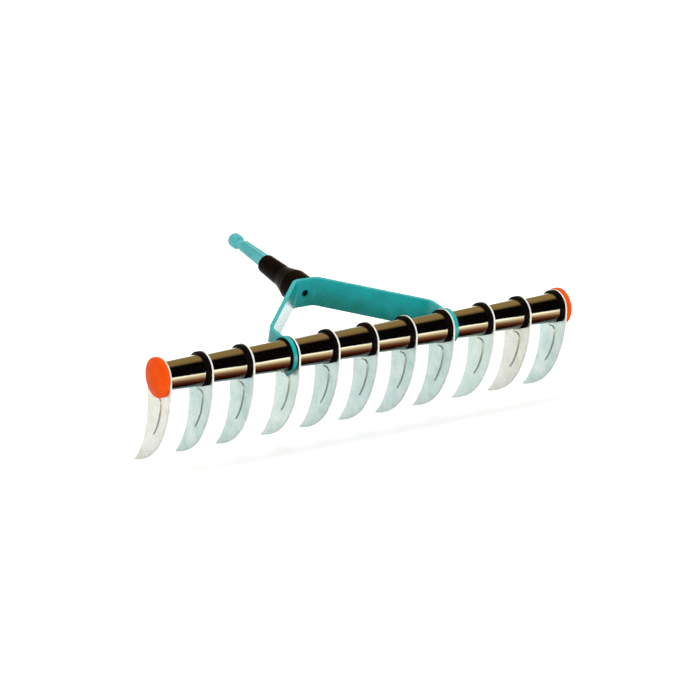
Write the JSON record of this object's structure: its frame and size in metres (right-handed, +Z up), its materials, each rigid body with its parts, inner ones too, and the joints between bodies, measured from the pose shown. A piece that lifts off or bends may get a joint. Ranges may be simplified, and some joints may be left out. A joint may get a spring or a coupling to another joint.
{
  "type": "thatch rake head",
  "caption": "Wide rake head with a row of curved sickle blades and tapered spacers on a square bar, carried by a bent bracket with a click-in handle spigot",
  "frame": {"origin": "middle of the round land on the handle spigot's knob, on the handle axis", "axes": "+X along the bar towards the left of the user who holds the handle, +Y level towards the user, with the handle axis 13 degrees above it, +Z up with the blades hanging down"},
  "size_m": [0.3642, 0.1961, 0.1158],
  "materials": {
    "blade_steel": "pressed sheet with a pale zinc coat",
    "spacer_plastic": "glossy moulded",
    "zinc_steel": "bright zinc plate",
    "cap_plastic": "satin moulded, orange",
    "teal_enamel": "gloss enamel",
    "spigot_enamel": "satin enamel, paler than the bracket",
    "boot_plastic": "satin moulded"
  },
  "bodies": {
    "root": {"blade_01": "blade_steel", "blade_02": "blade_steel", "blade_03": "blade_steel", "blade_04": "blade_steel", "blade_05": "blade_steel", "blade_06": "blade_steel", "blade_07": "blade_steel", "blade_08": "blade_steel", "blade_09": "blade_steel", "blade_10": "blade_steel", "blade_11": "blade_steel", "spacer_01": "spacer_plastic", "spacer_02": "spacer_plastic", "spacer_03": "spacer_plastic", "spacer_04": "spacer_plastic", "spacer_05": "spacer_plastic", "spacer_06": "spacer_plastic", "spacer_07": "spacer_plastic", "spacer_08": "spacer_plastic", "spacer_09": "spacer_plastic", "spacer_10": "spacer_plastic", "eye_washer": "spacer_plastic", "square_bar": "zinc_steel", "end_washer_left": "zinc_steel", "end_washer_right": "zinc_steel", "end_screw_left": "zinc_steel", "end_screw_right": "zinc_steel", "end_cap_left": "cap_plastic", "end_cap_right": "cap_plastic", "bracket": "teal_enamel", "handle_screw": "teal_enamel", "handle_spigot": "spigot_enamel", "handle_boot": "boot_plastic"}
  },
  "joints": []
}
